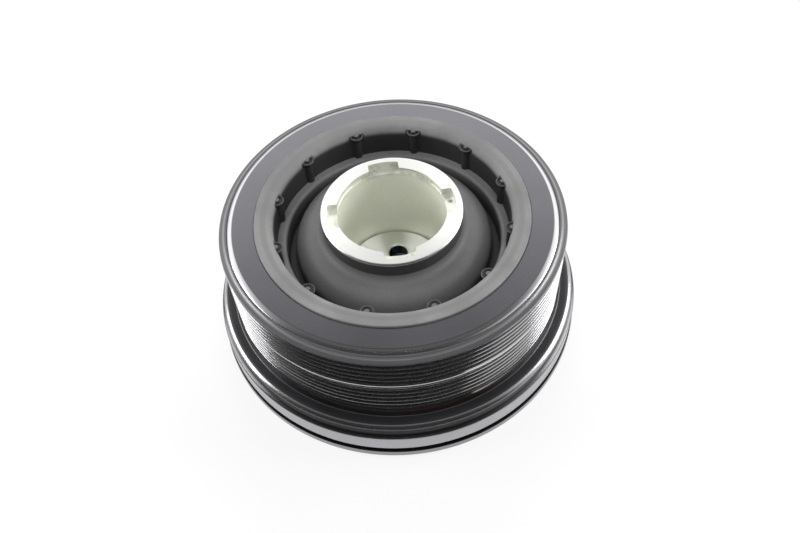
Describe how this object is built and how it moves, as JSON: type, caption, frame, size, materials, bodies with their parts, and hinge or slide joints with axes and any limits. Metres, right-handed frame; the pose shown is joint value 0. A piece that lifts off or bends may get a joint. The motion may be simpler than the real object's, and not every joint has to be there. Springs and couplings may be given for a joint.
{
  "type": "harmonic balancer",
  "caption": "Crankshaft pulley and torsional damper: ribbed belt track round a rubber-mounted ring, on a cupped steel hub with tool slots.",
  "frame": {"origin": "centre of the rear plate's resting face, on the crank axis", "axes": "+Z along the crank axis, towards the slotted front end of the hub"},
  "size_m": [0.2018, 0.2018, 0.0791],
  "materials": {
    "hub_steel": "satin",
    "damper_rubber": "matt",
    "ring_iron": "satin black",
    "pulley_steel": "satin black",
    "bush_plastic": "matt",
    "drive_steel": "satin black",
    "isolator_rubber": "matt",
    "plate_steel": "satin black",
    "carrier_steel": "satin black",
    "web_steel": "satin black"
  },
  "bodies": {
    "root": {"hub": "hub_steel", "damping_rubber": "damper_rubber", "inertia_ring": "ring_iron", "belt_pulley": "pulley_steel", "bearing_bush": "bush_plastic", "drive_ring": "drive_steel", "isolating_rubber": "isolator_rubber", "rear_plate": "plate_steel", "carrier_sleeve": "carrier_steel", "hub_web": "web_steel"}
  },
  "joints": []
}
